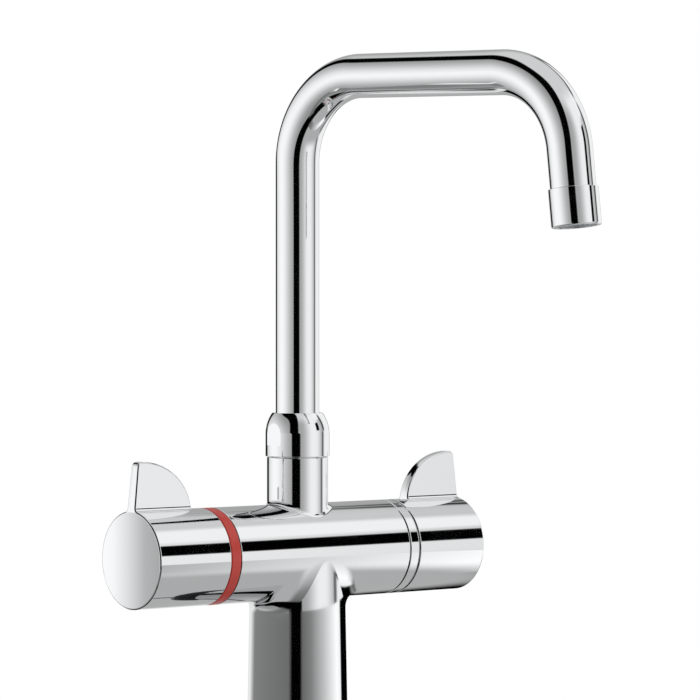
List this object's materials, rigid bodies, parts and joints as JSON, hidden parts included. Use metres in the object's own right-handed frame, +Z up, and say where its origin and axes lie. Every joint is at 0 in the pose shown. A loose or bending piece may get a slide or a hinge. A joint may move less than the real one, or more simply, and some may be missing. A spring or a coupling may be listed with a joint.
{
  "type": "thermostatic sink mixer",
  "caption": "Deck-mounted thermostatic sink mixer: horizontal cylindrical body on a column, lever handle at each end, swivel tube spout with aerator.",
  "frame": {"origin": "centre of the column's foot, on the sink deck", "axes": "+Z up from the deck along the column and riser, +X along the body towards the flow handle, -Y towards the sink and the user"},
  "size_m": [0.2106, 0.2166, 0.3936],
  "materials": {
    "chrome": "polished chrome plate",
    "red_plastic": "glossy moulded red plastic",
    "rubber": "moulded black rubber",
    "brass": "turned bare brass",
    "steel": "bright stainless steel",
    "white_plastic": "moulded acetal",
    "grey_plastic": "moulded grey plastic",
    "ceramic": "lapped white ceramic"
  },
  "bodies": {
    "root": {"body": "chrome", "base_seal": "rubber", "fixing_studs": "steel", "clamp_rubber": "rubber", "clamp_plate": "steel", "stud_nuts": "brass", "spout_nut": "chrome", "slip_ring": "white_plastic", "temperature_ring": "red_plastic", "cartridge_housing": "brass", "cartridge_nut": "brass", "cartridge_o_rings": "rubber", "port_strainers": "steel", "return_spring": "steel", "flow_ring": "chrome", "headwork_body": "brass", "headwork_o_ring": "rubber", "fixed_disc": "ceramic", "disc_seal": "rubber", "hot_valve_body": "white_plastic", "hot_valve_spring": "steel", "cold_valve_body": "white_plastic", "cold_valve_spring": "steel"},
    "spout": {"spout_tube": "chrome", "spout_nipple": "brass", "spout_o_rings": "rubber", "aerator_housing": "chrome", "aerator_seal": "rubber", "aerator_insert": "grey_plastic", "aerator_screen": "steel"},
    "temperature_control": {"temperature_handle": "chrome", "temperature_grub_screw": "steel", "cartridge_spindle": "brass", "cartridge_spindle_seal": "rubber"},
    "regulator": {"regulating_nut": "brass", "overload_spring": "steel", "overload_plunger": "brass", "wax_element": "brass", "shuttle": "grey_plastic"},
    "flow_control": {"flow_handle": "chrome", "flow_grub_screw": "steel", "headwork_spindle": "brass", "headwork_spindle_seal": "rubber", "moving_disc": "ceramic"},
    "hot_check": {"hot_poppet": "grey_plastic"},
    "cold_check": {"cold_poppet": "grey_plastic"}
  },
  "joints": [
    {"name": "spout_swivel", "type": "hinge", "parent": "root", "child": "spout", "pos_m": [0, 0, 0.084], "axis": [0, 0, 1], "continuous": true},
    {"name": "temperature_turn", "type": "hinge", "parent": "root", "child": "temperature_control", "pos_m": [-0.08, 0, 0.084], "axis": [1, 0, 0], "range_deg": [-70, 50]},
    {"name": "regulator_slide", "type": "slide", "parent": "root", "child": "regulator", "axis": [-1, 0, 0], "range_m": [-0.0016, 0.0012], "deforming": ["return_spring"]},
    {"name": "flow_turn", "type": "hinge", "parent": "root", "child": "flow_control", "pos_m": [0.08, 0, 0.084], "axis": [1, 0, 0], "range_deg": [0, 90]},
    {"name": "hot_check_lift", "type": "slide", "parent": "root", "child": "hot_check", "axis": [0, 0, 1], "range_m": [0, 0.003], "stiffness_N_per_m": 40, "springref_m": -0.003, "deforming": ["hot_valve_spring"]},
    {"name": "cold_check_lift", "type": "slide", "parent": "root", "child": "cold_check", "axis": [0, 0, 1], "range_m": [0, 0.003], "stiffness_N_per_m": 40, "springref_m": -0.003, "deforming": ["cold_valve_spring"]}
  ],
  "couplings": [
    {"joint": "regulator_slide", "follows": "temperature_turn", "m_per_rad": 0.0012732}
  ]
}
